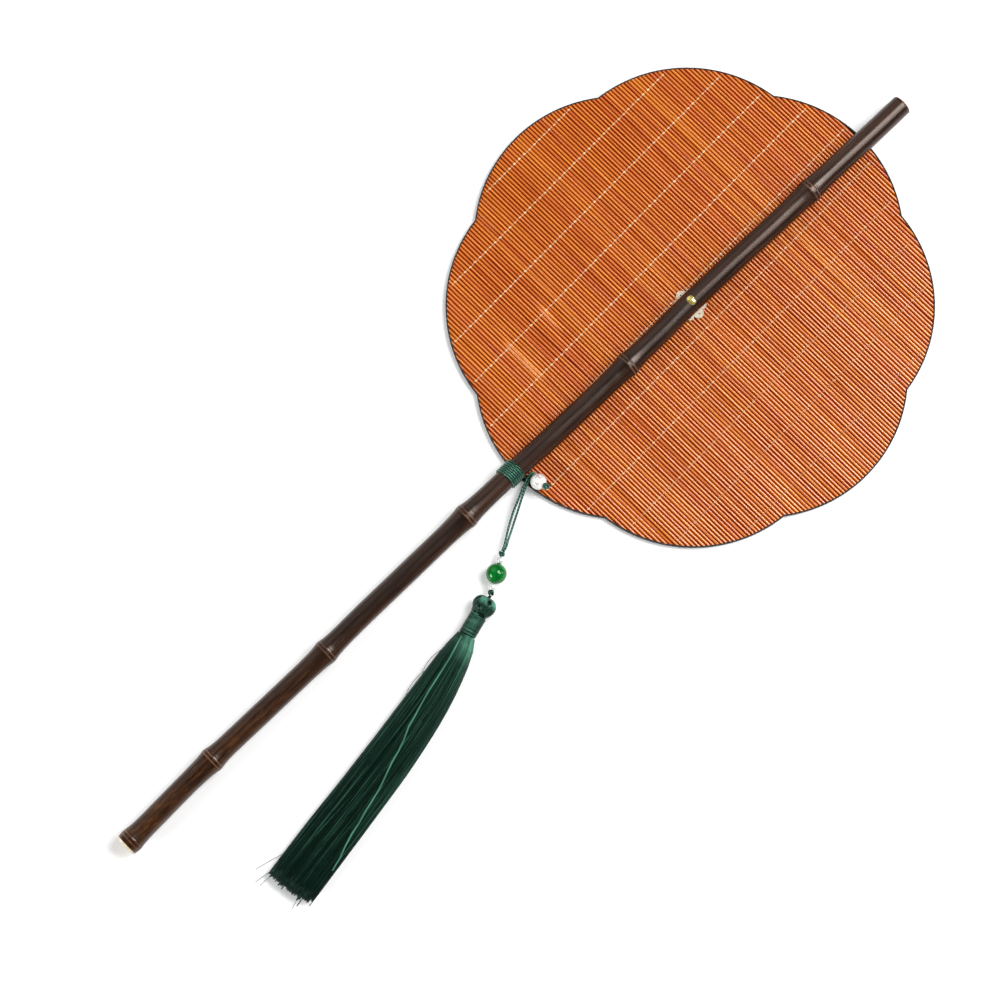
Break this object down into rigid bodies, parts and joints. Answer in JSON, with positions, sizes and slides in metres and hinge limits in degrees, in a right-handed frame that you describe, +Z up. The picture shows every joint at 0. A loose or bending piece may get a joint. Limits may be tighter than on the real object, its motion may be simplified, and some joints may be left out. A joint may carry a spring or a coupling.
{
  "type": "rigid hand fan",
  "caption": "Rigid hand fan: a scalloped mat of stitched bamboo slats pinned to a long dark bamboo handle, with a corded bead pendant and a silk tassel that swing from its lower rim.",
  "frame": {"origin": "on the table that the fan lies on, below the middle of the handle's length and the middle of the panel's width", "axes": "+Y runs along the handle from its butt to its tip, +Z is up, out of the front of the panel that carries the handle, +X is to the right seen from the front"},
  "size_m": [0.2472, 0.539, 0.015],
  "materials": {
    "dark_bamboo": "dark stained bamboo with a satin lacquer and lighter rings at the nodes",
    "slat_bamboo": "carbonised orange bamboo slats, satin",
    "stitch_thread": "cream twisted thread",
    "rim_cloth": "black woven edging, matt",
    "silver_plate": "pale silver stamped plate, satin",
    "brass": "polished brass",
    "green_cord": "lustrous teal-green polyester cord",
    "white_porcelain": "white glazed porcelain",
    "jade": "polished deep green jade",
    "spacer_metal": "bright silver spacer",
    "green_silk": "dark green floss silk with a sheen"
  },
  "bodies": {
    "fan": {"bamboo_handle": "dark_bamboo", "bamboo_mat": "slat_bamboo", "front_thread_01": "stitch_thread", "front_thread_02": "stitch_thread", "front_thread_03": "stitch_thread", "front_thread_04": "stitch_thread", "front_thread_05": "stitch_thread", "front_thread_06": "stitch_thread", "front_thread_07": "stitch_thread", "front_thread_08": "stitch_thread", "front_thread_09": "stitch_thread", "front_thread_10": "stitch_thread", "front_thread_11": "stitch_thread", "back_thread_01": "stitch_thread", "back_thread_02": "stitch_thread", "back_thread_03": "stitch_thread", "back_thread_04": "stitch_thread", "back_thread_05": "stitch_thread", "back_thread_07": "stitch_thread", "back_thread_08": "stitch_thread", "back_thread_09": "stitch_thread", "back_thread_10": "stitch_thread", "back_thread_11": "stitch_thread", "rim_binding": "rim_cloth", "flower_plate": "silver_plate", "back_washer": "silver_plate", "pin_burr": "brass", "brass_pin": "brass", "handle_lashing": "green_cord", "rim_tie": "green_cord", "hitch_knot": "green_cord", "button_cord": "green_cord", "stopper_knot": "green_cord"},
    "white_bead_body": {"white_bead": "white_porcelain"},
    "hanging_loop": {"loop_strand_left": "green_cord", "loop_strand_right": "green_cord"},
    "bead_chain": {"upper_knot": "green_cord", "bead_cord": "green_cord", "lower_knot": "green_cord"},
    "jade_beads": {"jade_bead": "jade", "upper_spacer": "spacer_metal", "lower_spacer": "spacer_metal"},
    "tassel": {"tassel_head": "green_silk", "neck_winding": "green_silk", "tassel_skirt": "green_silk"}
  },
  "joints": [
    {"name": "white_bead_spin", "type": "hinge", "parent": "fan", "child": "white_bead_body", "pos_m": [0.01215, 0.00155, 0.00755], "axis": [0.893, 0.0558, 0.4465], "continuous": true},
    {"name": "loop_lift", "type": "hinge", "parent": "fan", "child": "hanging_loop", "pos_m": [0.00655, 0.0012, 0.00475], "axis": [-0.8956, -0.4448, 0], "range_deg": [0, 65]},
    {"name": "chain_swing", "type": "hinge", "parent": "hanging_loop", "child": "bead_chain", "pos_m": [0.0253, -0.03655, 0.00525], "axis": [0, 0, 1], "range_deg": [-13, 60]},
    {"name": "jade_spin", "type": "hinge", "parent": "bead_chain", "child": "jade_beads", "pos_m": [0.03053, -0.04542, 0.00525], "axis": [0.5075, -0.8616, 0], "continuous": true},
    {"name": "tassel_lift", "type": "hinge", "parent": "bead_chain", "child": "tassel", "pos_m": [0.03555, -0.05395, 0.00525], "axis": [-0.965, -0.2622, 0], "range_deg": [0, 80]}
  ]
}
